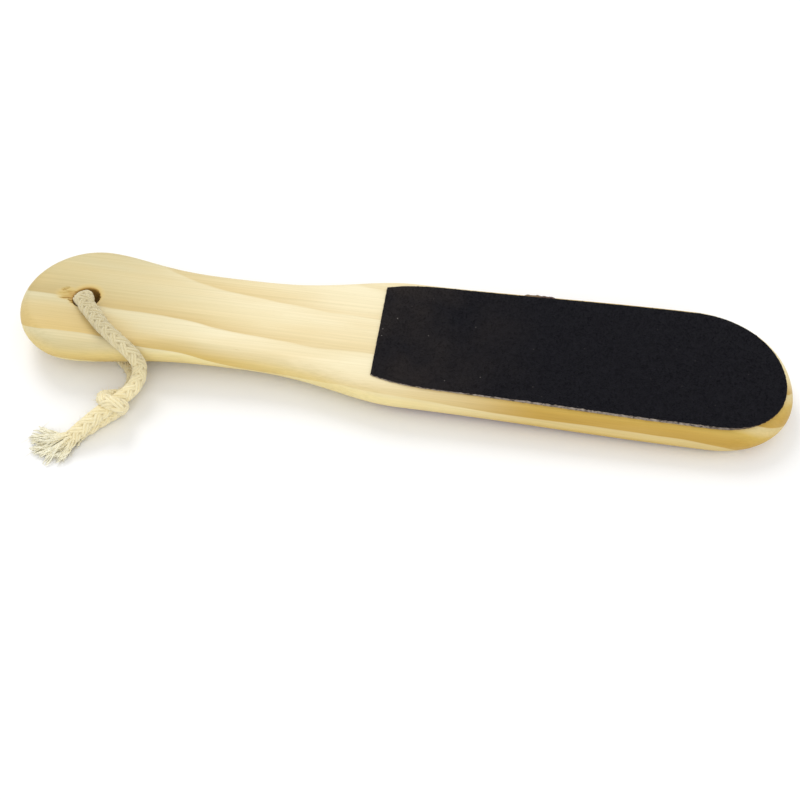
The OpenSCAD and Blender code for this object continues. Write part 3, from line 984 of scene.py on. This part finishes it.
# Frayed ends
# Both cut ends have come unplaited: the yarns open into their plies, fan out
# on the table, and end in loose fibres. They are painted paler than the plait:
# painted light, standing for the bright light on the fan and making up for the shade between its
# plies.
PLIES_PER_YARN, FIBRES_PER_PLY = 7, 4
# How each fan opens, as places across it from left to right: the place from 0
# to 1, the direction of the tips in degrees, and their distance in millimetres
LONG_FAN = (
    (0, 175, 13), (0.25, 184, 13.4), (0.45, 198, 12.6), (0.62, 214, 12),
    (0.75, 228, 10.6), (0.87, 247, 8), (1, 266, 7),
)
SHORT_FAN = ((0, 222, 3.2), (0.5, 232, 3.8), (1, 244, 3))
NEARLY_UP = np.array([0.01, 0.01, 1.01])


def opened_ply(rng, start, tangent, tip, reach, turned):
    """A ply that leaves a yarn's end and curls on to a tip: its middle line, the
    way that it aims, and its thickness."""
    t = np.linspace(0, 1, 22)[:, None]
    stray = rng.normal(0, 0.8, 3) * (1, 1, 0.2)
    aim = tip - start
    aim = aim / np.linalg.norm(aim)
    sideways = np.array([-aim[1], aim[0], 0])
    waving = sideways + (0, 0, 0.35)
    wave = sum(
        rng.normal(0, 0.28) * np.sin(t * rng.uniform(3, 11) + rng.uniform(0, 6.28)) * waving
        for _ in range(2)
    )
    turn = 2 * np.pi * (turned + t * 1.6)
    around = 0.26 * (np.cos(turn) * sideways + np.sin(turn) * np.array([0, 0, 0.6]))
    line = (
        (2 * t ** 3 - 3 * t ** 2 + 1) * start
        + (t ** 3 - 2 * t ** 2 + t) * tangent * reach * 0.55
        + (-2 * t ** 3 + 3 * t ** 2) * (tip + stray)
        + (t ** 3 - t ** 2) * (aim * reach + stray * 2)
        + t * wave
        + around * (0.6 + t)
    )
    t = t[:, 0]
    thick = rng.uniform(0.25, 0.36) * (1 - 0.15 * t) * np.clip((1 - t) / 0.05, 0.5, 1)
    line[:, 2] = np.maximum(line[:, 2], thick + 0.02)
    return line, aim, thick


def loose_fibre(rng, ply, aim):
    """A fine fibre that stands off the further half of a ply, and its thickness."""
    s = np.linspace(0, 1, 8)[:, None]
    root = ply[int(rng.integers(9, len(ply) - 1))]
    away = aim + rng.normal(0, 0.9, 3) * (1, 1, 0.6)
    curl = rng.normal(0, 0.5, 3) * (1, 1, 0.5)
    fibre = root + away * s * rng.uniform(0.5, 1.6) + curl * s ** 2
    fibre[:, 2] = np.maximum(fibre[:, 2], 0.06)
    return fibre, 0.05 * (1 - 0.6 * s[:, 0])


def frayed_end(name, yarns, fan, highest, seed):
    """Opens a cord's yarns, from where they end, into a fan on the table."""
    rng = np.random.default_rng(seed)
    plies = []
    ends = np.array([line[-1] for line, *_ in yarns])
    tangents = [directions(line)[-1] for line, *_ in yarns]
    middle = ends.mean(axis=0)
    # yarns on the left of the cord go to the left of the fan
    ahead = np.mean(tangents, axis=0)
    left = np.array([-ahead[1], ahead[0], 0.0])
    left /= np.linalg.norm(left)
    order = np.argsort([(e - middle) @ left + 0.4 * rng.standard_normal() for e in ends])
    across, bearings, distances = zip(*fan)
    for start, tangent, rank in zip(ends, tangents, np.argsort(order)):
        share = rank / (len(yarns) - 1)
        angle = math.radians(np.interp(share, across, bearings) + rng.normal(0, 3.5))
        reach = np.interp(share, across, distances) * rng.uniform(0.78, 1.02)
        tip = middle + reach * np.array([math.cos(angle), math.sin(angle), 0])
        tip[2] = rng.uniform(0.3, 1.0) if rng.random() < 0.6 else rng.uniform(1.0, highest)
        for k in range(PLIES_PER_YARN):
            ply, aim, thick = opened_ply(rng, start, tangent, tip, reach, k / PLIES_PER_YARN)
            plies.append((ply, NEARLY_UP, thick, 0.0))
            for _ in range(FIBRES_PER_PLY):
                fibre, thin = loose_fibre(rng, ply, aim)
                plies.append((fibre, NEARLY_UP, thin, 0.0))
    return yarn_mesh(name, plies, 5, cotton_with_painted_light)


cotton_with_painted_light = cotton("cotton_with_painted_light", srgb(255, 245, 207), srgb(255, 250, 224))
long_fray = frayed_end("long_fray", upper_yarns, LONG_FAN, highest=1.7, seed=3)
short_fray = frayed_end("short_fray", lower_yarns, SHORT_FAN, highest=2.2, seed=8)
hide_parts("long_frayed_end")
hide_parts("short_frayed_end")

# Nap
# Fine loose hairs of cotton that stand off the plait all along it, where the
# yarns have been rubbed.
HAIRS_PER_MM, HAIR_RADIUS = 9, 0.028
# How far from the middle of the cord a hair starts
HAIR_ROOT = 2.1


def cord_nap(name, lines, seed):
    rng = np.random.default_rng(seed)
    hairs = []
    s = np.linspace(0, 1, 6)[:, None]
    for line in lines:
        along = directions(line)
        count = int(HAIRS_PER_MM * LINE_STEP * len(line))
        for i in rng.integers(2, len(line) - 2, count):
            out = np.cross(along[i], rng.standard_normal(3))
            out /= np.linalg.norm(out)
            lean = along[i] * rng.normal(0, 0.8)
            hair = line[i] + out * (HAIR_ROOT + s * rng.uniform(0.5, 1.3)) + lean * s
            hair = hair + rng.normal(0, 0.35, 3) * s ** 2
            if hair[:, 2].min() > 0.05:
                thin = HAIR_RADIUS * (1 - 0.5 * s[:, 0])
                hairs.append((hair, np.cross(along[i], out), thin, 0.0))
    return yarn_mesh(name, hairs, 3, cotton_yarn)


# none grow inside the hole or under the handle
nap = cord_nap("nap", (upper_line[25:], lower_line[60:]), seed=5)

# Floor, light and camera
# A plain pale floor, soft light from behind and above, and a camera where the
# photographer stood, a little to the right of the handle and looking down.
camera = put_in_scene("camera", bpy.data.cameras.new("camera"))
camera.data.sensor_width = 36.0
camera.data.lens = 36.0
camera.data.clip_start = 0.01
# the ways that the camera's right side, its top and its back face
facing = Matrix((
    (0.992398, 0.121297, 0.020807),
    (-0.106195, 0.758552, 0.642901),
    (0.062199, -0.640223, 0.765667),
)).transposed().to_4x4()
facing.translation = (0.019573, -0.192319, 0.207025)
camera.matrix_world = facing
bpy.context.scene.camera = camera

# metres; the floor lies just under the lowest points of the file
REACH, FLOOR_Z = 3, -0.0001
corners = [(x * REACH, y * REACH, FLOOR_Z) for x, y in ((-1, -1), (1, -1), (1, 1), (-1, 1))]
floor_mesh = bpy.data.meshes.new("floor")
floor_mesh.from_pydata(corners, [], [(0, 1, 2, 3)])
floor = put_in_scene("floor", floor_mesh)
shine = {"Roughness": 0.75, "Specular_IOR_Level": 0.2}
floor_paint, floor_tree, floor_skin = new_finish("floor_paint", **shine)
# the floor looks white, and throws back a little less light on the file
seen = add(floor_tree, "ShaderNodeLightPath")
reflected = calc("MAXIMUM", seen["Is Glossy Ray"], seen["Is Transmission Ray"])
seen_white = calc("MAXIMUM", seen["Is Camera Ray"], reflected)
shown = blend_colours(seen_white, (0.88, 0.88, 0.88, 1), (1, 1, 1, 1))
feed(floor_skin.inputs["Base Color"], shown)
floor_mesh.materials.append(floor_paint)

world = bpy.data.worlds.new("studio")
bpy.context.scene.world = world
world.use_nodes = True
# the walls look white, and light the file a little less than that
sky = world.node_tree.nodes["Background"]
sky.inputs["Color"].default_value = (1, 1, 1, 1)
seen_direct = add(world.node_tree, "ShaderNodeLightPath")["Is Camera Ray"]
feed(sky.inputs["Strength"], fade(seen_direct, 0.0, 1.0, 0.72, 1.0))

# two soft round lamps that shine at the middle of the file: place, size, power
lamps = {"window": ((-0.5, 0.75, 0.9), 0.6, 5.0), "room": ((0.3, -0.8, 0.8), 1.0, 3.6)}
for name, (place, size, power) in lamps.items():
    lamp = bpy.data.lights.new(name, "AREA")
    lamp.shape = "DISK"
    lamp.size = size
    lamp.energy = power
    aim = Vector(place).to_track_quat("Z", "Y").to_matrix().to_4x4()
    put_in_scene(name, lamp).matrix_world = Matrix.Translation(place) @ aim

bpy.context.scene.view_settings.view_transform = "Standard"
